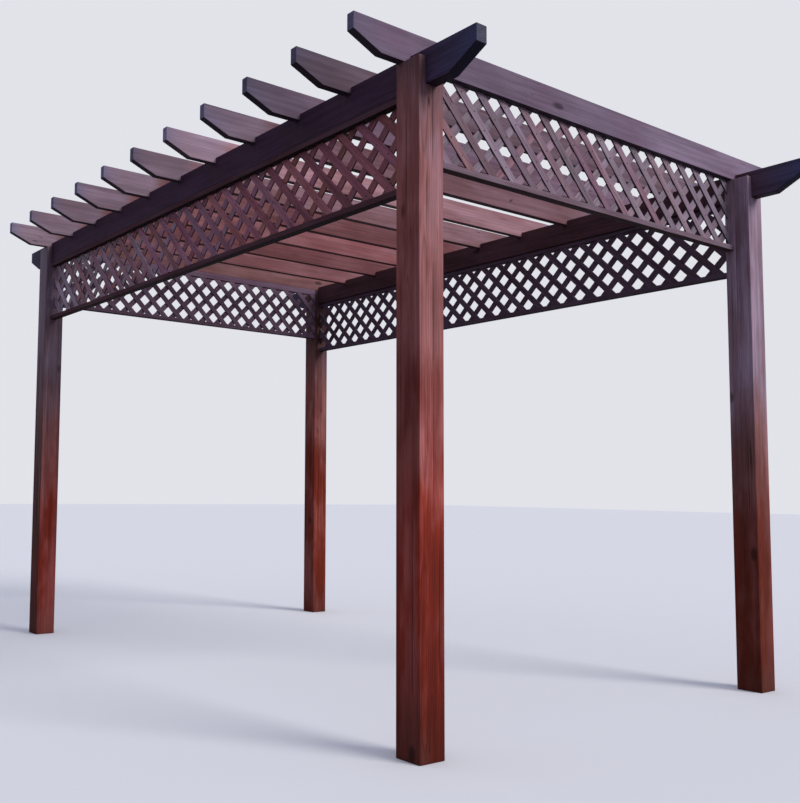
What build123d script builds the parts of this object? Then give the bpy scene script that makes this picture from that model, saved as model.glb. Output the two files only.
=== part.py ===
from build123d import *

import math
import os

# A free-standing garden pergola of sawn timber, stained red-brown.
# Four square posts carry two side beams, which lie in open forks cut in the
# post heads. Eleven rafters are notched over the beams and run out beyond
# them as shaped tails. A band of diagonal lattice hangs under each side of
# the roof, on a bottom rail. All but the front one have a top rail as well.
#
# The frame is in millimetres. X runs along the rafters, Y along the beams
# and Z is up. The origin is on the ground under the middle of the roof.

# Posts
post_size = 150.0
post_height = 3115.0
post_spacing_x = 2770.0
post_spacing_y = 4280.0

# Side beams, along Y
beam_width = 65.0
beam_depth = 165.0
beam_overhang = 300.0

# Rafters, along X
rafter_count = 11
rafter_width = 45.0
rafter_depth = 150.0
rafter_overhang = 300.0
notch_depth = 35.0
end_rafter_setback = 100.0

# Shaped tails of the beams and rafters: a short upright nose, then a slope
tail_nose = 80.0
tail_slope_run = 165.0

# Lattice bands
slat_width = 44.0
slat_thickness = 8.0
slat_gap = 66.0
slat_setback = 32.0
rail_height = 30.0
rail_depth = 50.0
back_top_rail_height = 50.0
front_opening_height = 418.5
back_opening_height = 398.0
side_opening_height = 404.5

# Where one hole of each lattice is, to the right of the middle of its opening
# and up from it, seen from outside
front_hole_right = -37.0
front_hole_up = 22.0
back_hole_right = 10.0
back_hole_up = -3.0
left_hole_right = -17.0
left_hole_up = -8.0
right_hole_right = -7.0
right_hole_up = -11.0

# Worked out from the sizes above
half_post = post_size / 2
post_x = post_spacing_x / 2
post_y = post_spacing_y / 2
roof_x = post_x + half_post + rafter_overhang
beam_end_y = post_y + half_post + beam_overhang
rafter_bottom = post_height
beam_bottom = rafter_bottom + notch_depth - beam_depth
end_rafter_y = post_y + half_post - end_rafter_setback - rafter_width / 2
rafter_pitch = 2 * end_rafter_y / (rafter_count - 1)
bay_x = post_spacing_x - post_size
bay_y = post_spacing_y - post_size
slat_pitch = slat_width + slat_gap
column_pitch = slat_pitch * math.sqrt(2)
side_band_x = post_x + beam_width / 2 - rail_depth / 2


def block(size_x, size_y, size_z, centre_x, centre_y, bottom):
    """A plain timber, given by its size, its middle and its lower face."""
    place = Location((centre_x, centre_y, bottom + size_z / 2))
    return place * Box(size_x, size_y, size_z)


def tailed_outline(half_length, depth):
    """The side view of a timber with a shaped tail at both ends.

    It is drawn about the middle of its lower face: a flat top, an upright
    nose at each end and a slope down to the flat underside.
    """
    slope_start = half_length - tail_slope_run
    nose_bottom = depth - tail_nose
    corners = [
        (-slope_start, 0),
        (slope_start, 0),
        (half_length, nose_bottom),
        (half_length, depth),
        (-half_length, depth),
        (-half_length, nose_bottom),
    ]
    return make_face(Polyline(*corners, close=True))


def post(x, y):
    """One post, with an open fork in its head that the beam lies in."""
    timber = block(post_size, post_size, post_height, x, y, 0)
    fork = block(beam_width, post_size, post_height - beam_bottom, x, y, beam_bottom)
    return timber - fork


def beam(x):
    """One side beam, in the forks of the front and back posts."""
    face = tailed_outline(beam_end_y, beam_depth)
    upright = Plane(origin=(x, 0, beam_bottom), x_dir=(0, 1, 0), z_dir=(1, 0, 0))
    return extrude(upright * face, beam_width / 2, both=True)


def rafter(y):
    """One rafter, notched over the beam at each side."""
    face = tailed_outline(roof_x, rafter_depth)
    upright = Plane(origin=(0, y, rafter_bottom), x_dir=(1, 0, 0), z_dir=(0, -1, 0))
    timber = extrude(upright * face, rafter_width / 2, both=True)
    for x in (-post_x, post_x):
        timber -= block(beam_width, rafter_width, notch_depth, x, y, rafter_bottom)
    return timber


def rail(length, height):
    """One rail, along X, with its middle at the origin."""
    return Box(length, rail_depth, height)


def slat_layer(length, height, hole_right, hole_up, slope):
    """One layer of parallel slats, cut square to the band's clear opening.

    The slats lie in the XZ plane about the origin and rise to the right
    when slope is 1, or to the left when it is -1. A hole of the lattice
    stands at hole_right and hole_up, half a column from the slats beside it.
    """
    opening = Rectangle(length, height)
    reach = length + height
    count = math.ceil(reach / column_pitch) + 1
    phase = hole_right - slope * hole_up
    slats = []
    for step in range(-count, count + 1):
        middle = phase + (step + 0.5) * column_pitch
        strip = Rectangle(2 * reach, slat_width).rotate(Axis.Z, 45 * slope)
        cut = opening & (Pos(middle, 0) * strip)
        slats += [face for face in cut.faces() if long_enough(face)]
    return slats


def long_enough(face):
    """A corner scrap that reaches no slat of the other layer isn't fitted."""
    return face.area > slat_width * slat_width


def lattice(length, height, hole_right, hole_up):
    """Two crossed layers of slats, joined where they touch.

    The layers meet on the XZ plane. The outer one is on the -Y side, and
    seen from there its slats fall from left to right.
    """
    upright = Plane(origin=(0, 0, 0), x_dir=(1, 0, 0), z_dir=(0, -1, 0))
    outer_faces = slat_layer(length, height, hole_right, hole_up, -1)
    inner_faces = slat_layer(length, height, hole_right, hole_up, 1)
    outer = [extrude(upright * face, slat_thickness) for face in outer_faces]
    inner = [extrude(upright * face, -slat_thickness) for face in inner_faces]
    return outer[0].fuse(*outer[1:], *inner)


def side_place(side):
    """Where the middle of a side's band is, with -Y turned to face outwards."""
    return {
        "front": Location((0, -end_rafter_y, 0)),
        "right": Location((side_band_x, 0, 0), (0, 0, 90)),
        "back": Location((0, end_rafter_y, 0), (0, 0, 180)),
        "left": Location((-side_band_x, 0, 0), (0, 0, -90)),
    }[side]


def band_heights(side):
    """The height of a side's top rail and of the clear opening under it."""
    return {
        "front": (0, front_opening_height),
        "back": (back_top_rail_height, back_opening_height),
        "left": (rail_height, side_opening_height),
        "right": (rail_height, side_opening_height),
    }[side]


def band_hole(side):
    """Where a hole of a side's lattice is, right and up from the middle."""
    return {
        "front": (front_hole_right, front_hole_up),
        "back": (back_hole_right, back_hole_up),
        "left": (left_hole_right, left_hole_up),
        "right": (right_hole_right, right_hole_up),
    }[side]


def band(side):
    """The rails and lattice of one side, under what they hang from."""
    across = side in ("front", "back")
    length = bay_x if across else bay_y
    top = rafter_bottom if across else beam_bottom
    place = side_place(side)
    top_rail, opening = band_heights(side)
    pieces = {}
    if top_rail:
        middle = top - top_rail / 2
        pieces[f"top_rail_{side}"] = place * Pos(0, 0, middle) * rail(length, top_rail)
    middle = top - top_rail - opening / 2
    back_from_middle = slat_setback + slat_thickness - rail_depth / 2
    slats = lattice(length, opening, *band_hole(side))
    pieces[f"lattice_{side}"] = place * Pos(0, back_from_middle, middle) * slats
    middle = top - top_rail - opening - rail_height / 2
    pieces[f"bottom_rail_{side}"] = place * Pos(0, 0, middle) * rail(length, rail_height)
    return pieces


def rafter_name(number):
    """The first and last rafters are the headers on the post heads."""
    return {1: "header_front", rafter_count: "header_back"}.get(number, f"rafter_{number}")


def pergola():
    """Every piece, by name."""
    pieces = {}
    for end, y in (("front", -post_y), ("back", post_y)):
        for hand, x in (("left", -post_x), ("right", post_x)):
            pieces[f"post_{end}_{hand}"] = post(x, y)
    pieces["beam_left"] = beam(-post_x)
    pieces["beam_right"] = beam(post_x)
    for number in range(1, rafter_count + 1):
        y = -end_rafter_y + (number - 1) * rafter_pitch
        pieces[rafter_name(number)] = rafter(y)
    for side in ("front", "back", "left", "right"):
        pieces.update(band(side))
    return pieces


os.makedirs("parts", exist_ok=True)
for name, piece in pergola().items():
    export_step(piece, f"parts/{name}.step")
    print(name, round(piece.volume))
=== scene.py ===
import math

import bpy
import numpy as np
from mathutils import Matrix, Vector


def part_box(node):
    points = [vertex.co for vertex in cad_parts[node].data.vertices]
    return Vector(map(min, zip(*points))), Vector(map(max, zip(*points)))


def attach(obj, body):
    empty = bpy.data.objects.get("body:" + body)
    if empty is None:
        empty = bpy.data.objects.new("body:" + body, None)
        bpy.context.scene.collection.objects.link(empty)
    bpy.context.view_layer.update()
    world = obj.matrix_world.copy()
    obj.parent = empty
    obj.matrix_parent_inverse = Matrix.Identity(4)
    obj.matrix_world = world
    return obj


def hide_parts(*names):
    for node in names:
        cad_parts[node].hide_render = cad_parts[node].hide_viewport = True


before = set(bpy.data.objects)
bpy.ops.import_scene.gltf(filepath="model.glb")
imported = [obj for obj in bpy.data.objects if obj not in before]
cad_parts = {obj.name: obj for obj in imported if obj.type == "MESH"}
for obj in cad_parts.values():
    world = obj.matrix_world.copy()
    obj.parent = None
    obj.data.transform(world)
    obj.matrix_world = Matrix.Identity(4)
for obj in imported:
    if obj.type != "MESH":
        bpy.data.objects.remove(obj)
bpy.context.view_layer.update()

# Sizes of the timbers in metres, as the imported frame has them.
post_size = 0.150
post_height = 3.115
post_x = 1.385
post_y = 2.140
beam_width = 0.065
beam_depth = 0.165
beam_bottom = 2.985
beam_end = 2.515
rafter_width = 0.045
rafter_depth = 0.150
rafter_bottom = 3.115
rafter_end = 1.760
header_y = 2.0925
rafter_pitch = 0.4185
notch_depth = 0.035
rail_depth = 0.050

# The tails: the height left upright at the nose, and the length of the slope.
tail_nose = 0.080
tail_run = 0.165

# The slats, and how far apart their middles are along a rail.
root2 = math.sqrt(2)
slat_width = 0.044
slat_thickness = 0.008
slat_bevel = 0.0011
slat_pitch = 0.110 * root2

# The rounding of the arrises, and of the ends of a rail against the posts.
post_arris = 0.004
timber_arris = 0.003
rail_arris = 0.002
rail_end_arris = 0.0005

# How far apart the stations lie on a post, a cheek of its fork, a beam or
# rafter, and a rail.
post_step = 0.045
cheek_step = 0.03
timber_step = 0.06
rail_step = 0.08

# The camera stands where the photograph was taken from. It was worked out
# from the corners and edges of the posts, beams and rafters.
camera_place = (-4.3897, -5.2199, 1.1548)
camera_yaw = 0.6072
camera_pitch = 0.0775
camera_roll = 0.0119
focal_pixels = 955.824
centre_pixels = (260.407, 416.147)
image_size = (800, 803)
sensor_mm = 36.0

chance = np.random.default_rng(7)


def camera_axes():
    """Right, up and forward, turned by yaw, then pitch, then roll."""
    sy, cy = math.sin(camera_yaw), math.cos(camera_yaw)
    sp, cp = math.sin(camera_pitch), math.cos(camera_pitch)
    sr, cr = math.sin(camera_roll), math.cos(camera_roll)
    forward = np.array([sy * cp, cy * cp, sp])
    level = np.array([cy, -sy, 0.0])
    upright = np.cross(level, forward)
    right = cr * level + sr * upright
    up = -sr * level + cr * upright
    return right, up, forward


def turned_to(right, up, back):
    """The matrix that turns an object's own axes to the three given ones."""
    return Matrix([[right[i], up[i], back[i]] for i in range(3)]).to_4x4()


def add_camera():
    """The lens and its shift come from pixels, as shares of the image's height."""
    data = bpy.data.cameras.new("photo_camera")
    data.sensor_width = sensor_mm
    data.lens = focal_pixels * sensor_mm / image_size[1]
    data.shift_x = (image_size[0] / 2 - centre_pixels[0]) / image_size[1]
    data.shift_y = (centre_pixels[1] - image_size[1] / 2) / image_size[1]
    camera = bpy.data.objects.new("photo_camera", data)
    right, up, forward = camera_axes()
    camera.matrix_world = Matrix.Translation(camera_place) @ turned_to(right, up, -forward)
    bpy.context.scene.collection.objects.link(camera)
    bpy.context.scene.camera = camera


# Materials

def node(tree, kind, values=None, **settings):
    """One shader node. A value that is a socket is wired, any other is set."""
    made = tree.nodes.new(kind)
    for key, value in settings.items():
        setattr(made, key, value)
    for key, value in (values or {}).items():
        if isinstance(value, bpy.types.NodeSocket):
            tree.links.new(value, made.inputs[key])
        else:
            made.inputs[key].default_value = value
    return made


def maths(tree, operation, a, b=0.0, clamp=False):
    """One arithmetic node, kept between 0 and 1 where clamp is set."""
    made = node(tree, "ShaderNodeMath", {0: a, 1: b}, operation=operation, use_clamp=clamp)
    return made.outputs[0]


def times_plus(tree, value, times, plus):
    """A value times one number, plus another."""
    made = node(tree, "ShaderNodeMath", {0: value, 1: times, 2: plus}, operation="MULTIPLY_ADD")
    return made.outputs[0]


def vectors(tree, operation, a, b):
    """One node that works on two vectors."""
    return node(tree, "ShaderNodeVectorMath", {0: a, 1: b}, operation=operation)


def ramp(tree, value, low, high):
    """A smooth step from 0 at low to 1 at high."""
    values = {"Value": value, "From Min": low, "From Max": high}
    return node(tree, "ShaderNodeMapRange", values, interpolation_type="SMOOTHSTEP").outputs[0]


def fall(tree, value, low, high):
    """A smooth step from 1 at low to 0 at high."""
    return maths(tree, "SUBTRACT", 1.0, ramp(tree, value, low, high))


def noise(tree, place, waves, detail=2.0, rough=0.5):
    """Noise with a given number of waves to the metre in each direction."""
    spread = vectors(tree, "MULTIPLY", place, waves).outputs[0]
    values = {"Vector": spread, "Scale": 1.0, "Detail": detail, "Roughness": rough}
    return node(tree, "ShaderNodeTexNoise", values).outputs[0]


def rgba(colour):
    """A colour with full cover."""
    return (*colour, 1.0)


def blend(tree, share, a, b):
    """Colour a going over to colour b by a share from 0 to 1."""
    return node(tree, "ShaderNodeMix", {0: share, 6: a, 7: b}, data_type="RGBA").outputs[2]


def scaled(tree, colour, factor):
    """A colour made lighter or darker by a factor."""
    made = node(tree, "ShaderNodeVectorMath", {0: colour, "Scale": factor}, operation="SCALE")
    return made.outputs[0]


def new_material(name):
    """A new material, with its node tree and the shader in it."""
    material = bpy.data.materials.new(name)
    material.use_nodes = True
    tree = material.node_tree
    return material, tree, tree.nodes["Principled BSDF"]


# Waves to the metre along, across and through a timber, and of rust on nails.
pith_waves = (0.9, 6.0, 6.0)
check_waves = (0.55, 19.0, 19.0)
check_patch_waves = (1.1, 9.0, 9.0)
streak_waves = (1.3, 46.0, 46.0)
blotch_waves = (2.0, 8.0, 8.0)
fibre_waves = (9.0, 420.0, 420.0)
edge_wear_and_highlight_waves = (6.0, 40.0, 40.0)
rust_waves = (60.0, 60.0, 60.0)

# How far the pith wanders, and how far a knot pushes the rings aside.
pith_wander = 0.05
knot_push = 0.012

# What each part of the pattern adds to the wood's lightness where it is full,
# and what goes with it everywhere, so that the mean stays about the same.
# Less than nothing makes the wood darker.
pattern_force = {
    "blotch": (0.34, -0.17), "streak": (0.44, -0.22), "late": (-0.30, 0.08), "thread": (-0.16, 0.08),
}
knot_force = -0.62


def growth_rings(tree, board, swirl, look):
    """Late wood bands about a pith that wanders along the timber.

    The distance from the pith, pushed about by noise and by the knots, goes
    through a sine. Its crests, made narrow by a power, are the dark bands.
    """
    cross = vectors(tree, "MULTIPLY", board, (0.0, 1.0, 1.0)).outputs[0]
    moved = vectors(tree, "ADD", cross, look["pith"]).outputs[0]
    radius = node(tree, "ShaderNodeVectorMath", {0: moved}, operation="LENGTH").outputs["Value"]
    wander = maths(tree, "MULTIPLY", noise(tree, board, pith_waves), pith_wander)
    radius = maths(tree, "ADD", radius, wander)
    radius = maths(tree, "ADD", radius, maths(tree, "MULTIPLY", swirl, knot_push))
    wave = maths(tree, "SINE", maths(tree, "MULTIPLY", radius, 2 * math.pi / look["ring"]))
    return maths(tree, "POWER", times_plus(tree, wave, 0.5, 0.5), 2.5)


def hair_checks(tree, board):
    """Thin drying checks: where slow noise along the grain crosses its middle."""
    slow = noise(tree, board, check_waves, 1.0)
    contour = maths(tree, "ABSOLUTE", maths(tree, "SUBTRACT", slow, 0.5))
    patches = ramp(tree, noise(tree, board, check_patch_waves, 1.0), 0.5, 0.62)
    return maths(tree, "MULTIPLY", fall(tree, contour, 0.001, 0.0045), patches)


def wood_pattern(tree, board, look):
    """The parts of the wood's pattern by name, each from 0 to 1.

    Knots lie round the centres of stretched cells, and the rings swirl round
    them a little further out. Threads are the crests of the fibre.
    """
    spread = vectors(tree, "MULTIPLY", board, look["knot_spread"]).outputs[0]
    near = node(tree, "ShaderNodeTexVoronoi", {"Vector": spread, "Scale": 1.0}).outputs["Distance"]
    fibre = noise(tree, board, fibre_waves, 3.0, 0.6)
    return {
        "knot": fall(tree, near, 0.05, 0.12),
        "late": growth_rings(tree, board, fall(tree, near, 0.05, 0.36), look),
        "streak": ramp(tree, noise(tree, board, streak_waves, 4.0, 0.6), 0.30, 0.70),
        "blotch": ramp(tree, noise(tree, board, blotch_waves, 3.0, 0.55), 0.33, 0.67),
        "fibre": fibre,
        "thread": ramp(tree, fibre, 0.35, 0.7),
        "hair": hair_checks(tree, board),
    }


def stain_colour(tree, look, blotch, hue, fade, end, cut_end):
    """The stain's colour, with its tips and bare cut ends. On beams and rafters both hold painted bluish
    sky light; on a post the tip colour is its darker foot.

    The first half of the fading goes from fresh to dulled and the second from
    dulled to faded. Blotches move the fading by up to 0.12 either way.
    """
    fade = maths(tree, "ADD", fade, times_plus(tree, blotch, 0.24, -0.12), clamp=True)
    dulling = maths(tree, "MULTIPLY", fade, 2.0, clamp=True)
    fading = maths(tree, "MAXIMUM", times_plus(tree, fade, 2.0, -1.0), 0.0)
    colour = blend(tree, dulling, rgba(look["fresh"]), rgba(look["dulled"]))
    colour = blend(tree, fading, colour, rgba(look["faded"]))
    turned = {"Hue": times_plus(tree, hue, 1.0, 0.5), "Color": colour}
    colour = node(tree, "ShaderNodeHueSaturation", turned).outputs[0]
    # Ends go over to the tip colour: bleaching with painted bluish sky light on beams and rafters, a darker
    # foot on a post.
    bleached = maths(tree, "MULTIPLY", end, times_plus(tree, blotch, 0.5, 0.7), clamp=True)
    colour = blend(tree, bleached, colour, rgba(look["tip"]))
    return blend(tree, cut_end, colour, rgba(look["cut"]))


def lightness(tree, look, pattern, tone, under, wear):
    """A timber's tone, times its pattern, the painted shade on its underside and its worn arrises, which
    are partly a painted highlight.
    """
    light = tone
    for part, (full, everywhere) in pattern_force.items():
        force = full * look["contrast"]
        share = times_plus(tree, pattern[part], force, 1.0 + everywhere * look["contrast"])
        light = maths(tree, "MULTIPLY", light, share)
    # Painted shade darkens faces that look down; worn arrises, partly a painted highlight, are lighter.
    for value, force in ((pattern["knot"], knot_force), (under, -look["under"]), (wear, look["wear"])):
        light = maths(tree, "MULTIPLY", light, times_plus(tree, value, force, 1.0))
    return light


def wood_relief(tree, pattern):
    """The bump's height: late wood, fibre and knots up, and hair checks down."""
    late = maths(tree, "MULTIPLY", pattern["late"], 0.35)
    relief = maths(tree, "ADD", late, maths(tree, "MULTIPLY", pattern["fibre"], 0.5))
    relief = maths(tree, "ADD", relief, maths(tree, "MULTIPLY", pattern["knot"], 0.5))
    return maths(tree, "SUBTRACT", relief, maths(tree, "MULTIPLY", pattern["hair"], 1.4))


def stained_wood(name, look):
    """Sawn softwood with a red-brown stain that has faded in the weather.

    Its pattern is read from three attributes. Board runs along, across and through each timber, and carries
    growth rings, streaks and blotches where the stain took, fine fibre, knots and thin drying checks. Tint
    gives how light a timber is, its hue and how far it has faded. Marks gives its arrises, which are worn
    and lightened partly as a painted highlight, its ends, bleached with painted bluish sky light on beams
    and rafters and darker at a post's foot, and its deep checks. Faces that look down get painted shade.
    """
    material, tree, shader = new_material(name)
    board = node(tree, "ShaderNodeAttribute", attribute_name="board").outputs["Vector"]
    tint = node(tree, "ShaderNodeAttribute", attribute_name="tint").outputs["Vector"]
    tone, hue, fade = node(tree, "ShaderNodeSeparateXYZ", {0: tint}).outputs
    marks = node(tree, "ShaderNodeAttribute", attribute_name="marks").outputs["Vector"]
    edge, end, check = node(tree, "ShaderNodeSeparateXYZ", {0: marks}).outputs
    faces = node(tree, "ShaderNodeTexCoord").outputs["Normal"]
    # Painted shade: faces that look down are made darker.
    under = ramp(tree, node(tree, "ShaderNodeSeparateXYZ", {0: faces}).outputs["Z"], -0.25, -0.65)
    straight = vectors(tree, "DOT_PRODUCT", faces, look["grain"]).outputs["Value"]
    # Faces across the grain take the cut colour, which on beams and rafters holds painted bluish sky light.
    cut_end = ramp(tree, maths(tree, "ABSOLUTE", straight), 0.75, 0.95)

    pattern = wood_pattern(tree, board, look)
    colour = stain_colour(tree, look, pattern["blotch"], hue, fade, end, cut_end)
    # Worn arrises, lighter in patches: partly wear, partly a painted highlight.
    wear = maths(tree, "MULTIPLY", edge, ramp(tree, noise(tree, board, edge_wear_and_highlight_waves, 3.0), 0.45, 0.7))
    colour = scaled(tree, colour, lightness(tree, look, pattern, tone, under, wear))
    lines = maths(tree, "MAXIMUM", check, maths(tree, "MULTIPLY", pattern["hair"], 0.7))
    colour = blend(tree, lines, colour, rgba(look["check"]))
    tree.links.new(colour, shader.inputs["Base Color"])

    rough = times_plus(tree, pattern["streak"], 0.14, look["rough"])
    rough = maths(tree, "ADD", rough, maths(tree, "MULTIPLY", lines, 0.2))
    tree.links.new(rough, shader.inputs["Roughness"])
    shader.inputs["Specular IOR Level"].default_value = look["shine"]
    height = wood_relief(tree, pattern)
    bump = node(tree, "ShaderNodeBump", {"Strength": 0.45, "Distance": 0.0016, "Height": height})
    tree.links.new(bump.outputs[0], shader.inputs["Normal"])
    return material


# What each kind of timber looks like: its stain when fresh, dulled and faded, its tips, cut ends and deep
# checks, the way that faces with the cut colour face, the width of a growth ring, where the pith lies, the
# knots' cells to the metre, how strong its pattern and its worn arrises are, how rough and how shiny it is,
# and how dark the painted shade on its underside is. On beams and rafters the bluish tips and cut ends are
# bleached wood with painted sky light, and on a post the tip colour is its darker foot. The worn arrises
# are lightened partly as a painted highlight.
post_look = {
    "fresh": (0.180, 0.024, 0.013), "dulled": (0.285, 0.118, 0.116), "faded": (0.290, 0.205, 0.275),
    "tip": (0.075, 0.024, 0.016), "cut": (0.090, 0.040, 0.030), "check": (0.016, 0.006, 0.006),
    "grain": (0.0, 0.0, 1.0), "ring": 0.0085, "pith": (0.0, 0.031, 0.094), "knot_spread": (2.3, 4.2, 4.2),
    "contrast": 1.0, "wear": 0.5, "rough": 0.52, "shine": 0.06, "under": 0.68,
}
beam_look = {
    "fresh": (0.080, 0.037, 0.044), "dulled": (0.066, 0.033, 0.045), "faded": (0.050, 0.0245, 0.048),
    # Tip and cut colours: bleached wood with painted bluish sky light.
    "tip": (0.052, 0.056, 0.122), "cut": (0.067, 0.068, 0.103), "check": (0.008, 0.006, 0.010),
    "grain": (0.0, 1.0, 0.0), "ring": 0.0080, "pith": (0.0, 0.060, 0.040), "knot_spread": (2.3, 5.0, 5.0),
    "contrast": 1.0, "wear": 0.7, "rough": 0.56, "shine": 0.05, "under": 0.68,
}
rafter_look = {
    "fresh": (0.225, 0.086, 0.094), "dulled": (0.225, 0.122, 0.140), "faded": (0.215, 0.150, 0.196),
    # Tip and cut colours: bleached wood with painted bluish sky light.
    "tip": (0.165, 0.136, 0.205), "cut": (0.144, 0.128, 0.210), "check": (0.030, 0.016, 0.020),
    "grain": (1.0, 0.0, 0.0), "ring": 0.0075, "pith": (0.0, 0.045, 0.060), "knot_spread": (2.0, 5.0, 5.0),
    "contrast": 0.8, "wear": 0.15, "rough": 0.60, "shine": 0.04, "under": 0.68,
}
slat_look = {
    "fresh": (0.230, 0.082, 0.095), "dulled": (0.220, 0.120, 0.152), "faded": (0.210, 0.162, 0.205),
    "tip": (0.120, 0.075, 0.090), "cut": (0.080, 0.050, 0.055), "check": (0.030, 0.016, 0.020),
    "grain": (0.0, 0.0, 1.0), "ring": 0.0065, "pith": (0.0, 0.020, 0.050), "knot_spread": (3.0, 9.0, 9.0),
    "contrast": 0.8, "wear": 0.2, "rough": 0.60, "shine": 0.04, "under": 0.68,
}
rail_look = dict(slat_look, shine=0.01, under=0.0)


def nail_steel():
    """Dull galvanised steel, gone dark and rusty in patches."""
    material, tree, shader = new_material("weathered_nail_steel")
    place = node(tree, "ShaderNodeTexCoord").outputs["Object"]
    rust = ramp(tree, noise(tree, place, rust_waves, 3.0), 0.40, 0.62)
    colour = blend(tree, rust, rgba((0.022, 0.018, 0.022)), rgba((0.035, 0.015, 0.011)))
    tree.links.new(colour, shader.inputs["Base Color"])
    tree.links.new(times_plus(tree, rust, 0.3, 0.45), shader.inputs["Roughness"])
    shader.inputs["Metallic"].default_value = 0.6
    bump = node(tree, "ShaderNodeBump", {"Strength": 0.3, "Distance": 0.0004, "Height": rust})
    tree.links.new(bump.outputs[0], shader.inputs["Normal"])
    return material


woods = {
    "posts": stained_wood("post_stain_red_brown", post_look),
    "beams": stained_wood("beam_stain_near_black", beam_look),
    "rafters": stained_wood("rafter_stain_mauve_brown", rafter_look),
    "lattice": stained_wood("slat_stain_weathered", slat_look),
    "rails": stained_wood("rail_stain_weathered", rail_look),
}
steel = nail_steel()


# Surfaces

def rounded_ring(flat_across, flat_upright, corner_steps=3):
    """The points round a rectangle with rounded corners, as four numbers each.

    The first two say where a point is on the straight rectangle of the corner
    centres, from -1 to 1, and the last two are the way it faces. A point is
    the corner rectangle's place plus the corner radius times that way.
    """
    turn = np.linspace(0.0, math.pi / 2, corner_steps + 1)
    rows = []
    quarters = ((1, 1, flat_across), (-1, 1, flat_upright), (-1, -1, flat_across), (1, -1, flat_upright))
    for number, (u, v, flat) in enumerate(quarters):
        angle = turn + number * math.pi / 2
        corner = np.stack([np.full_like(angle, u), np.full_like(angle, v), np.cos(angle), np.sin(angle)], 1)
        steps = np.sort(np.asarray(flat, float))
        along = steps[::-1] if number in (0, 1) else steps
        still = np.ones_like(along)
        face = (number + 1) * math.pi / 2
        ways = [np.round(math.cos(face)) * still, np.round(math.sin(face)) * still]
        uv = [along, v * still] if number % 2 == 0 else [u * still, along]
        rows += [corner, np.stack(uv + ways, 1)]
    return np.concatenate(rows)


def end_rounding(start, end, stops, radius):
    """Stations along a timber, with the inset that rounds off both its ends.

    Near an end the inset goes from the radius to nothing as a quarter turn.
    """
    turn = np.linspace(0.0, math.pi / 2, 4)
    reach = radius * (1 - np.cos(turn))
    inset = radius * (1 - np.sin(turn))
    middle = np.asarray(stops, float)
    clear = 1.5 * radius
    middle = middle[(middle > start + clear) & (middle < end - clear)]
    stations = np.concatenate([start + reach, middle, (end - reach)[::-1]])
    insets = np.concatenate([inset, np.zeros(len(middle)), inset[::-1]])
    return stations, insets


def lofted(ring, stations, insets, width, low, high, radius, axes, origin, groove=0.0):
    """A section carried along a straight timber, as a grid of points.

    A point is the origin, plus the station along the timber, plus the ring's
    place scaled to half the width across and half the height up, plus the
    corner radius less the inset and the groove in the way the point faces.
    The height runs from low to high, which may change from station to station.
    """
    along, across, up = (np.asarray(axis, float) for axis in axes)
    u, v, nu, nv = (ring[None, :, i] for i in range(4))
    half = (high - low)[:, None] / 2
    middle = (high + low)[:, None] / 2
    out = radius - insets[:, None] - groove
    c = u * (width / 2 - radius) + out * nu
    d = middle + v * (half - radius) + out * nv
    a = np.broadcast_to(stations[:, None], c.shape)
    points = np.asarray(origin, float) + a[..., None] * along + c[..., None] * across + d[..., None] * up
    return points, np.stack([a, c, d], -1)


def quads_of(rows, columns, first):
    """The four corners of every face of a grid that closes round its columns."""
    i = np.arange(rows - 1)[:, None]
    j = np.arange(columns)[None, :]
    k = (j + 1) % columns
    base = np.stack([i * columns + j, i * columns + k, (i + 1) * columns + k, (i + 1) * columns + j], -1)
    return first + base.reshape(-1, 4)


def shell(points, board, tint, marks):
    """One closed skin: a grid of points with what the stain reads from it."""
    full = points.shape[:2]
    tint = np.stack([np.broadcast_to(part, full) for part in tint], -1)
    marks = np.stack([np.broadcast_to(part, full) for part in marks], -1)
    return {"points": points, "board": board, "tint": tint, "marks": marks}


def add_piece(name, shells, material, nodes, smooth=True):
    """Joins closed skins into one mesh and stands it in for its CAD nodes.

    A skin is the faces of its grid, with one flat face over each of its ends.
    """
    faces, flat, first = [], [], 0
    for skin in shells:
        rows, columns = skin["points"].shape[:2]
        faces += quads_of(rows, columns, first).tolist()
        faces.append(list(range(first + columns - 1, first - 1, -1)))
        faces.append(list(range(first + (rows - 1) * columns, first + rows * columns)))
        flat += [len(faces) - 2, len(faces) - 1]
        first += rows * columns
    points = np.concatenate([skin["points"].reshape(-1, 3) for skin in shells])
    mesh = bpy.data.meshes.new(name)
    mesh.from_pydata(points.tolist(), [], faces)
    soft = np.full(len(faces), smooth)
    soft[flat] = False
    mesh.polygons.foreach_set("use_smooth", soft)
    for key in ("board", "tint", "marks"):
        values = np.concatenate([skin[key].reshape(-1, 3) for skin in shells])
        mesh.attributes.new(key, "FLOAT_VECTOR", "POINT").data.foreach_set("vector", values.ravel())
    mesh.materials.append(material)
    mesh.update()
    piece = bpy.data.objects.new(name, mesh)
    bpy.context.scene.collection.objects.link(piece)
    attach(piece, "root")
    if nodes:
        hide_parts(*nodes)


def near_edge(ring):
    """One at the rounded corners of a section and nothing on its flats."""
    return ((np.abs(ring[:, 2]) < 0.999) & (np.abs(ring[:, 3]) < 0.999)).astype(float)


def near_ends(stations, start, end, reach):
    """One at both ends of a timber, falling to nothing over the reach."""
    gap = np.minimum(stations - start, end - stations)
    return np.clip(1.0 - gap / reach, 0.0, 1.0)[:, None] ** 1.5


def own_shift():
    """A shift of the pattern to a part of the wood that no other timber has."""
    return chance.uniform((-40.0, -0.02, -0.02), (40.0, 0.02, 0.02))


# Posts

faces_of_post = {"back": (0, 1), "left": (-1, 0), "front": (0, -1), "right": (1, 0)}

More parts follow.
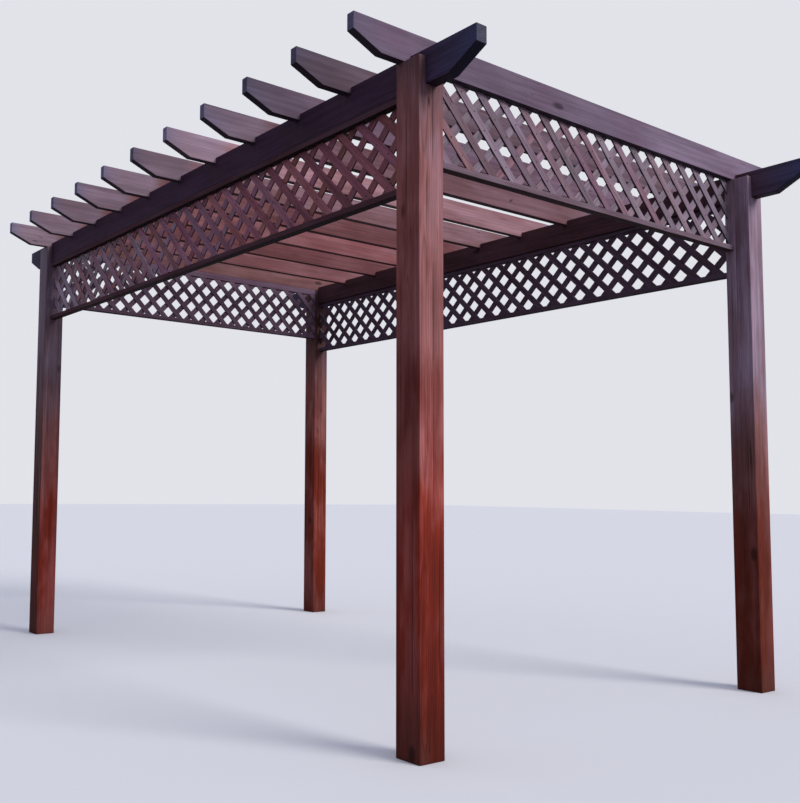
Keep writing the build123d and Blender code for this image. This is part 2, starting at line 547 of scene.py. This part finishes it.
# Where checks may run across a face, from -1 to 1, half the width of a check,
# and the depth from which it is quite dark.
check_marks = (-0.42, 0.12, 0.60)
check_half_width = 0.0022
check_dark_depth = 0.002

# How high the foot of a post is made darker, and how much.
foot_height = 0.3
foot_dark = 0.5

seen_checks = [
    ("front", 1, 1.72, 2.16, 0.005), ("front", 1, 2.62, 3.02, 0.003), ("front", 1, 1.05, 1.66, 0.0025),
    ("front", 0, 2.34, 2.58, 0.0025), ("front", 2, 0.30, 0.95, 0.0025), ("left", 0, 0.25, 1.10, 0.003),
    ("left", 2, 1.30, 2.20, 0.0025), ("left", 1, 2.35, 2.90, 0.0025),
]

# How each post took the weather: heights, with its tone and its fading there, and the same for its left
# face. On the back right post, the darkening from 2.1 m up is painted shadow of the roof.
post_weather_and_shade = {
    "post_front_left": [
        (0.2, 0.64, 0.0, 0.66, 0.0), (0.6, 0.88, 0.0, 1.28, 0.0), (0.9, 0.96, 0.0, 1.24, 0.0),
        (1.15, 1.42, 0.08, 1.0, 0.02), (1.5, 1.26, 0.28, 0.78, 0.14), (2.0, 0.82, 0.36, 0.86, 0.23),
        (2.6, 1.02, 0.52, 1.10, 0.36), (2.85, 0.82, 0.64, 0.88, 0.44), (3.1, 0.50, 0.80, 0.52, 0.60),
    ],
    "post_front_right": [
        (0.2, 0.66, 0.0, 0.66, 0.05), (1.0, 0.70, 0.06, 0.72, 0.20), (1.5, 0.85, 0.52, 0.62, 0.70),
        (1.9, 1.0, 0.95, 1.0, 0.95), (2.8, 0.98, 1.0, 0.95, 1.0),
    ],
    "post_back_left": [
        (0.2, 1.05, 0.06, 0.40, 0.04), (1.0, 1.12, 0.08, 0.25, 0.06), (1.6, 0.78, 0.34, 0.28, 0.32),
        (2.1, 0.50, 0.90, 0.42, 0.80), (2.8, 0.70, 1.0, 0.58, 1.0),
    ],
    # From 2.1 m up: painted shadow of the roof.
    "post_back_right": [
        (0.2, 0.80, 0.06, 0.88, 0.05), (0.9, 1.16, 0.08, 1.06, 0.06), (1.5, 0.84, 0.11, 0.92, 0.08),
        (2.1, 0.86, 0.40, 1.20, 0.30), (2.6, 0.28, 0.6, 0.36, 0.60),
    ],
}


def chance_checks():
    """A check at each mark of each face of a post, none of them long."""
    lines = []
    for face in faces_of_post:
        for mark in range(len(check_marks)):
            start = chance.uniform(0.1, 2.2)
            end = start + chance.uniform(0.25, 0.8)
            lines.append((face, mark, start, end, chance.uniform(0.0015, 0.0035)))
    return lines


def check_depths(stations, ring, lines):
    """The depth of the drying checks at each station and ring point.

    Along a check the depth is its most times the square root of a half
    sine, so that both of its ends run out to nothing.
    """
    depth = np.zeros((len(stations), len(ring)))
    for face, mark, start, end, most in lines:
        nu, nv = faces_of_post[face]
        across = ring[:, 0] if nu == 0 else ring[:, 1]
        here = (ring[:, 2] == nu) & (ring[:, 3] == nv) & (np.abs(across - check_marks[mark]) < 1e-6)
        share = np.clip((stations - start) / (end - start), 0.0, 1.0)
        run = most * np.sqrt(np.abs(np.sin(math.pi * share)))
        depth[:, here] = np.maximum(depth[:, here], run[:, None])
    return depth


def post_weather(stations, ring, wear, hue):
    """Tone, hue and fading of a post, in straight lines between given heights.

    They go over to those of the left face by how far a point faces left.
    """
    heights, *rows = np.array(wear).T
    tone, fade, left_tone, left_fade = (np.interp(stations, heights, row)[:, None] for row in rows)
    left = np.clip(-ring[:, 2], 0.0, 1.0)
    return tone + (left_tone - tone) * left, hue, fade + (left_fade - fade) * left


def square_at_fork(stations, insets, side):
    """Stations on one side of the fork's seat, which end there with no rounding.

    Side is -1 below the seat and 1 above it. One more station close to the
    seat keeps the shading flat right up to it.
    """
    clear, close = 0.002, 0.0004
    keep = side * (stations - beam_bottom) > clear
    stations = np.append(stations[keep], [beam_bottom, beam_bottom + side * close])
    insets = np.append(insets[keep], [0.0, 0.0])
    order = np.argsort(stations)
    return stations[order], insets[order]


def post_skins(x, y, wear, lines):
    """A square post and the two cheeks of the open fork in its head.

    The body is a rounded square carried up to the fork's seat, with checks as
    grooves three points wide, and a cheek is a rounded oblong carried up from
    there.
    """
    axes = ((0, 0, 1), (1, 0, 0), (0, 1, 0))
    past_seat, off_corner = 0.02, 0.006
    reach = post_size / 2 - post_arris
    marks = np.array(check_marks)
    clear = 1 - off_corner / reach
    half = check_half_width / reach
    flat = np.concatenate([[-clear, clear], marks, marks - half, marks + half])
    ring = rounded_ring(flat, flat)
    stops = np.arange(0.03, beam_bottom, post_step)
    stations, insets = end_rounding(0.0, beam_bottom + past_seat, stops, post_arris)
    stations, insets = square_at_fork(stations, insets, -1)
    groove = check_depths(stations, ring, lines)
    low = np.full(len(stations), -post_size / 2)
    place = (x, y, 0.0)
    points, board = lofted(ring, stations, insets, post_size, low, -low, post_arris, axes, place, groove)
    foot = foot_dark * np.clip(1.0 - stations / foot_height, 0.0, 1.0)[:, None]
    shift = own_shift()
    hue = chance.uniform(-0.004, 0.004)
    tint = post_weather(stations, ring, wear, hue)
    check = np.clip(groove / check_dark_depth, 0.0, 1.0)
    skins = [shell(points, board + shift, tint, (near_edge(ring), foot, check))]

    cheek_width = (post_size - beam_width) / 2
    ring = rounded_ring(np.array([-0.7, 0.0, 0.7]), np.concatenate([[-clear, clear], marks]))
    stops = np.arange(beam_bottom, post_height, cheek_step)
    stations, insets = end_rounding(beam_bottom - past_seat, post_height, stops, post_arris)
    stations, insets = square_at_fork(stations, insets, 1)
    low = np.full(len(stations), -post_size / 2)
    tint = post_weather(stations, ring, wear, hue)
    for side in (-1, 1):
        middle = side * (post_size - cheek_width) / 2
        place = (x + middle, y, 0.0)
        points, board = lofted(ring, stations, insets, cheek_width, low, -low, post_arris, axes, place)
        board = board + shift + np.array([0.0, middle, 0.0])
        skins.append(shell(points, board, tint, (near_edge(ring), 0.0, 0.0)))
    return skins


# Beams, rafters and rails

along_x = ((1, 0, 0), (0, 1, 0), (0, 0, 1))
along_y = ((0, 1, 0), (-1, 0, 0), (0, 0, 1))


def tailed_low(stations, half_length, depth, seats):
    """The height of the lower face along a timber with shaped tails.

    It rises in a straight line over the tail, and steps up over each beam.
    """
    start = half_length - tail_run
    nose = depth - tail_nose
    low = np.clip((np.abs(stations) - start) / tail_run, 0.0, 1.0) * nose
    for seat in seats:
        low = np.where(np.abs(stations - seat) <= beam_width / 2, notch_depth, low)
    return low


def tailed_stops(half_length, seats):
    """Stations at even steps and close about every change of the lower face."""
    start = half_length - tail_run
    about_bend = np.array([-0.0015, 0.0, 0.0015])
    about_wall = np.array([-0.0016, -0.0002, 0.0002, 0.0016])
    least = 0.0001
    stops = [np.arange(-half_length, half_length, timber_step), about_bend - start, about_bend + start]
    for seat in seats:
        stops += [seat + side * beam_width / 2 + about_wall for side in (-1, 1)]
    stops = np.sort(np.concatenate(stops))
    return stops[np.append(True, np.diff(stops) > least)]


def tailed_timber(half_length, width, depth, bottom, place, axes, seats, bleach_and_sky_tint_reach, weather):
    """A timber on edge with shaped tails. Weather gives its tint, point by point.

    A rounded oblong is carried along it, and the lower side of the oblong
    follows the height of the lower face.
    """
    ring = rounded_ring(np.array([-0.7, 0.0, 0.7]), np.array([-0.93, -0.5, 0.0, 0.5, 0.93]))
    stops = tailed_stops(half_length, seats)
    stations, insets = end_rounding(-half_length, half_length, stops, timber_arris)
    low = tailed_low(stations, half_length, depth, seats)
    high = np.full(len(stations), depth)
    origin = (place[0], place[1], bottom)
    points, board = lofted(ring, stations, insets, width, low, high, timber_arris, axes, origin)
    # Bleached ends, with painted bluish sky light from the tip colour.
    end = near_ends(stations, -half_length, half_length, bleach_and_sky_tint_reach)
    return shell(points, board + own_shift(), weather(stations, ring), (near_edge(ring), end, 0.0))


# The hue and the fading of the faces of rails and slats that look inwards. These faces are painted shade:
# darker, and bluish with painted sky light.
inner_sky_tint_hue = -0.06
inside_fade = 0.7


def rail_timber(length, height, bottom, place, axes, outward, tone, fade, inner_shade_tone):
    """A straight rail: a rounded oblong carried along it.

    Its face away from the outside is painted shade: darker, and bluish with painted sky light.
    """
    ring = rounded_ring(np.array([-0.8, 0.0, 0.8]), np.array([-0.7, 0.0, 0.7]))
    stops = np.arange(-length / 2, length / 2, rail_step)
    stations, insets = end_rounding(-length / 2, length / 2, stops, rail_end_arris)
    low = np.zeros(len(stations))
    high = np.full(len(stations), height)
    origin = (place[0], place[1], bottom)
    points, board = lofted(ring, stations, insets, rail_depth, low, high, rail_arris, axes, origin)
    # Inner faces: painted shade, darker and bluish with painted sky light.
    inside = (ring[:, 2] * outward < -0.5)[None, :]
    tint = (np.where(inside, inner_shade_tone, tone), np.where(inside, inner_sky_tint_hue, 0.0),
            np.where(inside, inside_fade, fade))
    return shell(points, board + own_shift(), tint, (near_edge(ring), 0.0, 0.0))


# Lattice

# Each side's lattice: its middle, the way to the right as seen from outside,
# the way out, its length and height, and where one of its holes lies, right
# and up from the middle.
sides = {
    "front": {"middle": (0.0, -2.0775, 2.90575), "right": (1, 0, 0), "out": (0, -1, 0),
              "size": (2.620, 0.4185), "hole": (-0.037, 0.022)},
    "back": {"middle": (0.0, 2.0775, 2.866), "right": (-1, 0, 0), "out": (0, 1, 0),
             "size": (2.620, 0.398), "hole": (0.010, -0.003)},
    "left": {"middle": (-1.3775, 0.0, 2.75275), "right": (0, -1, 0), "out": (-1, 0, 0),
             "size": (4.130, 0.4045), "hole": (-0.017, -0.008)},
    "right": {"middle": (1.3775, 0.0, 2.75275), "right": (0, 1, 0), "out": (1, 0, 0),
              "size": (4.130, 0.4045), "hole": (-0.007, -0.011)},
}

# How each side took the weather: the tone of its slats and how that rises to the right, their fading and
# how that rises, and the tones of the slats' inner faces and of the rails. The inner faces' darker tone is
# painted shade.
band_wear = {
    "front": {"tone": 1.08, "rise": 0.02, "fade": 0.80, "drift": 0.12, "inside": 0.40, "rails": 0.85},
    "back": {"tone": 1.0, "rise": 0.0, "fade": 0.6, "drift": 0.0, "inside": 0.80, "rails": 0.5},
    "left": {"tone": 1.27, "rise": -0.09, "fade": 0.32, "drift": -0.28, "inside": 0.40, "rails": 0.36},
    "right": {"tone": 1.25, "rise": 0.09, "fade": 0.6, "drift": 0.2, "inside": 0.48, "rails": 0.36},
}

# How far single slats stray by chance: in tone, fading and hue, and in metres
# from their even places and in their bow.
tone_stray = 0.20
fade_stray = 0.32
hue_stray = 0.03
place_stray = 0.0012
bow_stray = 0.001

# The profile of a nail head from its rim to its top, as radius and height over
# the slat, the smallest share of that radius, how far nails miss a crossing,
# and how far crossings with a nail keep from the opening's sides and edges.
head_radius = (0.0050, 0.0052, 0.0043, 0.0020)
head_height = (-0.0015, 0.0002, 0.0008, 0.0010)
head_least = 0.5
head_stray = 0.006
head_off_side = 0.012
head_off_edge = 0.010


def side_frame(side):
    """The middle of a side's lattice, and its ways to the right, out and up."""
    middle, right, out = (np.array(side[key], float) for key in ("middle", "right", "out"))
    return middle, right, out, np.array([0.0, 0.0, 1.0])


def slat_section():
    """A flat section with bevelled edges: its twelve places across and through."""
    half, thick, inner = slat_width / 2, slat_thickness / 2, 0.007
    edge, face = half - slat_bevel, thick - slat_bevel
    across = [half, half, edge, inner, -inner, -edge, -half, -half, -edge, -inner, inner, edge]
    through = [-face, face, thick, thick, thick, thick, face, -face, -thick, -thick, -thick, -thick]
    return np.array(across), np.array(through)


def slat_crossings(side, slope):
    """Where a layer's slats cross the middle line of the opening.

    They are a pitch apart and half a pitch off the hole, each a little astray.
    """
    length, height = side["size"]
    phase = side["hole"][0] - slope * side["hole"][1]
    count = math.ceil((length + height) / slat_pitch) + 1
    crossing = phase + (np.arange(-count, count + 1) + 0.5) * slat_pitch
    return crossing + chance.uniform(-place_stray, place_stray, len(crossing))


def slat_runs(side, slope, lines):
    """Where each line along a slat starts and ends on its diagonal.

    A line at some distance from the middle of the opening runs from the later
    of its crossings with the left side and the lower edge to the earlier of
    its crossings with the right side and the upper edge, so the ends are cut
    flush with the opening.
    """
    length, height = side["size"]
    start = np.maximum(-length / root2 + slope * lines, -height / root2 - slope * lines)
    end = np.minimum(length / root2 + slope * lines, height / root2 - slope * lines)
    return start, end


def slat_tint(outer, crossing, wear):
    """Tone, hue and fading of one slat, astray by chance on its outer face. Its inner faces take the
    painted shade of the side's inside tone.
    """
    stray = chance.uniform(1 - tone_stray, 1 + tone_stray)
    tone = (1.0 + wear["rise"] * crossing) * wear["tone"] * stray
    fade = wear["fade"] + wear["drift"] * crossing + chance.uniform(-fade_stray, fade_stray)
    hue = chance.uniform(-hue_stray, hue_stray)
    # Inner faces: painted shade, darker and bluish with painted sky light.
    return (np.where(outer, tone, wear["inside"]), np.where(outer, hue, inner_sky_tint_hue),
            np.where(outer, fade, inside_fade))


def slat_skins(side, slope, wear):
    """One layer of slats, each a flat section carried along a diagonal.

    A point is the layer's middle, plus its run along the diagonal, plus its
    line and a slight bow across it, plus its depth outwards. A scrap smaller
    than the square of a slat's width isn't fitted.
    """
    length, height = side["size"]
    across, through = slat_section()
    crossing = slat_crossings(side, slope)
    middle = -slope * crossing / root2
    limit = (length + height) / 2 / root2 - 0.0005
    lines = np.clip(middle[:, None] + across, -limit, limit)
    start, end = slat_runs(side, slope, lines)
    area = np.ptp(lines, axis=1) * np.clip((end - start).mean(1), 0.0, None)
    kept = area > slat_width * slat_width
    centre, right, out, up = side_frame(side)
    way = (right + slope * up) / root2
    over = (-slope * right + up) / root2
    layer = centre + out * (slat_thickness / 2) * (-slope)
    share = np.linspace(0.0, 1.0, 4)[:, None]
    skins = []
    for i in np.flatnonzero(kept):
        run = start[i] + (end[i] - start[i]) * share
        bow = chance.uniform(-bow_stray, bow_stray) * np.sin(math.pi * share)
        line = lines[i] + bow
        depth = np.broadcast_to(through, run.shape)
        points = layer + run[..., None] * way + line[..., None] * over + depth[..., None] * out
        board = np.stack([run, line - middle[i], depth], -1)
        if slope > 0:
            points, board = points[:, ::-1], board[:, ::-1]
        tint = slat_tint(board[..., 2] > 0.0, crossing[i], wear)
        # A slat's narrow edge faces count as arrises: worn, and lightened partly as a painted highlight.
        edge = (np.abs(board[..., 2]) < slat_thickness / 2 - 0.0001) * 1.0
        skins.append(shell(points, board + own_shift(), tint, (edge, 0.0, 0.0)))
    return skins, crossing[kept]


def nail_skins(side, falling, rising):
    """A low round nail head over each crossing, on the outer slats.

    A head is a profile of radius and height turned round the way out, in eight
    steps. A rising and a falling slat cross at half the sum of their places on
    the middle line, and half their difference up from it.
    """
    length, height = side["size"]
    first, second = np.meshgrid(rising, falling)
    p, q = (first + second).ravel() / 2, (second - first).ravel() / 2
    inside = (np.abs(p) < length / 2 - head_off_side) & (np.abs(q) < height / 2 - head_off_edge)
    p, q = p[inside], q[inside]
    p = p + chance.uniform(-head_stray, head_stray, len(p))
    q = q + chance.uniform(-head_stray, head_stray, len(q))
    centre, right, out, up = side_frame(side)
    turn = (np.arange(8) * math.pi / 4)[None, :, None]
    dome = np.array(head_radius)[:, None, None] * (np.cos(turn) * right + np.sin(turn) * up)
    lift = (np.array(head_height) + slat_thickness)[:, None, None] * out
    skins = []
    for x, z in zip(p, q):
        points = centre + x * right + z * up + lift + dome * chance.uniform(head_least, 1.0)
        skins.append(shell(points, points, (1.0, 0.0, 0.0), (0.0, 0.0, 0.0)))
    return skins


# Weather of the beams and rafters

# How each rafter took the weather, from the front header to the back one: its
# tone outside the beams, its tone between them and how that rises to the
# right, its fading between them, and its hue.
rafter_wear = [
    (0.86, 0.86, 0.16, 1.00, -0.075), (0.60, 0.74, 0.1, 0.85, -0.01), (0.61, 0.80, 0.1, 0.75, -0.05),
    (0.92, 0.86, 0.06, 0.45, -0.01), (1.42, 1.54, -0.04, 0.46, 0.0), (0.84, 1.07, 0.03, 0.50, 0.0),
    (1.04, 0.72, 0.05, 0.06, 0.0), (0.93, 1.10, 0.16, 0.08, 0.0), (0.85, 0.71, 0.06, 0.00, 0.0),
    (1.02, 0.91, 0.16, 0.18, 0.0), (1.12, 0.79, 0.16, 0.28, 0.015),
]

# Where the weathered tails of the rafters begin, on the left and on the right,
# and the length over which they do.
tail_starts = (-1.35, 1.62)
tail_change = 0.07

# How far the bleaching, tinted with painted bluish sky light, reaches from the ends of a beam, of a rafter
# near the front, and of one of the others, and how many rafters count as near the front.
beam_bleach_and_sky_tint_reach = 0.45
front_bleach_and_sky_tint_reach = 0.30
rafter_bleach_and_sky_tint_reach = 0.12
front_rafters = 4


def beam_weather(outward):
    """A beam has faded on its outer face and kept some red on its inner one."""
    def weather(stations, ring):
        return 1.0, 0.0, 0.5 + 0.5 * outward * ring[None, :, 2]
    return weather


def rafter_weather(outer_tone, inner_tone, rise, inner_fade, hue):
    """A rafter goes from its tone and fading inside to those of its tails."""
    def weather(stations, ring):
        past = np.maximum(tail_starts[0] - stations, stations - tail_starts[1])
        out = np.clip(past / tail_change + 0.5, 0.0, 1.0)[:, None]
        inner = inner_tone * (1.0 + rise * stations[:, None])
        return inner + (outer_tone - inner) * out, hue, inner_fade + (1.0 - inner_fade) * out
    return weather


# The pieces

def build_posts():
    for end, y in (("front", -post_y), ("back", post_y)):
        for hand, x in (("left", -post_x), ("right", post_x)):
            name = f"post_{end}_{hand}"
            lines = seen_checks if name == "post_front_left" else chance_checks()
            skins = post_skins(x, y, post_weather_and_shade[name], lines)
            add_piece(f"stained_{name}", skins, woods["posts"], [name])


def build_beams():
    """A beam in the forks of the posts on each side."""
    for hand, x in (("left", -post_x), ("right", post_x)):
        weather = beam_weather(-math.copysign(1.0, x))
        skin = tailed_timber(beam_end, beam_width, beam_depth, beam_bottom, (x, 0.0), along_y, (),
                             beam_bleach_and_sky_tint_reach, weather)
        add_piece(f"stained_beam_{hand}", [skin], woods["beams"], [f"beam_{hand}"])


def build_rafters():
    """Rafters notched over both beams, from the front header to the back one."""
    headers = {1: "header_front", len(rafter_wear): "header_back"}
    for number, wear in enumerate(rafter_wear, 1):
        name = headers.get(number, f"rafter_{number}")
        y = -header_y + (number - 1) * rafter_pitch
        bleach_and_sky_tint_reach = front_bleach_and_sky_tint_reach if number <= front_rafters else rafter_bleach_and_sky_tint_reach
        skin = tailed_timber(rafter_end, rafter_width, rafter_depth, rafter_bottom, (0.0, y), along_x,
                             (-post_x, post_x), bleach_and_sky_tint_reach, rafter_weather(*wear))
        add_piece(f"stained_{name}", [skin], woods["rafters"], [name])


def build_bands():
    """On each side two layers of slats, the nail heads and the rails."""
    for name, side in sides.items():
        wear = band_wear[name]
        outer, falling = slat_skins(side, -1, wear)
        inner, rising = slat_skins(side, 1, wear)
        add_piece(f"slats_{name}", outer + inner, woods["lattice"], [f"lattice_{name}"], False)
        add_piece(f"nail_heads_{name}", nail_skins(side, falling, rising), steel, (), False)
        across = name in ("front", "back")
        axes = along_x if across else along_y
        outward = 1.0 if name in ("back", "left") else -1.0
        rail_names = [f"bottom_rail_{name}"] + ([] if name == "front" else [f"top_rail_{name}"])
        for rail in rail_names:
            low, high = (np.asarray(corner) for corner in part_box(rail))
            middle = (low + high) / 2
            length = (high - low)[0 if across else 1]
            skin = rail_timber(length, high[2] - low[2], low[2], middle, axes, outward,
                               wear["rails"], wear["fade"], wear["inside"])
            add_piece(f"stained_{rail}", [skin], woods["rails"], [rail])


# Floor, light and backdrop

# The camera and reflections see the first colour of each pair, and the second
# one is what lights the pergola.
floor_reach = 60.0
floor_colours = ((0.74, 0.74, 0.76), (0.13, 0.12, 0.12))
sky_colours = ((0.76, 0.77, 0.82), (0.50, 0.53, 0.66))

# The lamp's strength, its spread in radians, its colour and the way to it.
lamp_strength = 2.4
lamp_spread = 0.5
lamp_colour = (1.0, 0.97, 0.93)
lamp_way = (0.35, -0.85, 0.55)


def pale_for_camera(tree, seen, cast):
    """The seen colour for the camera and for reflections, else the cast one."""
    path = node(tree, "ShaderNodeLightPath")
    either = maths(tree, "MAXIMUM", path.outputs["Is Camera Ray"], path.outputs["Is Glossy Ray"])
    either = maths(tree, "MAXIMUM", either, path.outputs["Is Transmission Ray"])
    return blend(tree, either, rgba(cast), rgba(seen))


def add_floor():
    """A wide flat square on the ground, too large for its edges to show."""
    mesh = bpy.data.meshes.new("pale_floor")
    quarters = ((-1, -1), (1, -1), (1, 1), (-1, 1))
    corners = [(x * floor_reach, y * floor_reach, 0) for x, y in quarters]
    mesh.from_pydata(corners, [], [(0, 1, 2, 3)])
    material, tree, shader = new_material("pale_floor")
    shader.inputs["Roughness"].default_value = 0.9
    shader.inputs["Specular IOR Level"].default_value = 0.1
    tree.links.new(pale_for_camera(tree, *floor_colours), shader.inputs["Base Color"])
    mesh.materials.append(material)
    floor = bpy.data.objects.new("pale_floor", mesh)
    bpy.context.scene.collection.objects.link(floor)


def add_light():
    """An even sky, and one broad lamp behind the camera on its right."""
    world = bpy.data.worlds.new("soft_sky")
    bpy.context.scene.world = world
    world.use_nodes = True
    tree = world.node_tree
    back = tree.nodes["Background"]
    tree.links.new(pale_for_camera(tree, *sky_colours), back.inputs["Color"])
    back.inputs["Strength"].default_value = 1.0
    lamp = bpy.data.lights.new("broad_lamp", "SUN")
    lamp.energy = lamp_strength
    lamp.angle = lamp_spread
    lamp.color = lamp_colour
    broad = bpy.data.objects.new("broad_lamp", lamp)
    back_way = np.array(lamp_way)
    level = np.cross((0.0, 0.0, 1.0), back_way)
    level = level / np.linalg.norm(level)
    back_way = back_way / np.linalg.norm(back_way)
    broad.matrix_world = turned_to(level, np.cross(back_way, level), back_way)
    bpy.context.scene.collection.objects.link(broad)


add_camera()
build_posts()
build_beams()
build_rafters()
build_bands()
add_floor()
add_light()
bpy.context.scene.view_settings.view_transform = "Standard"
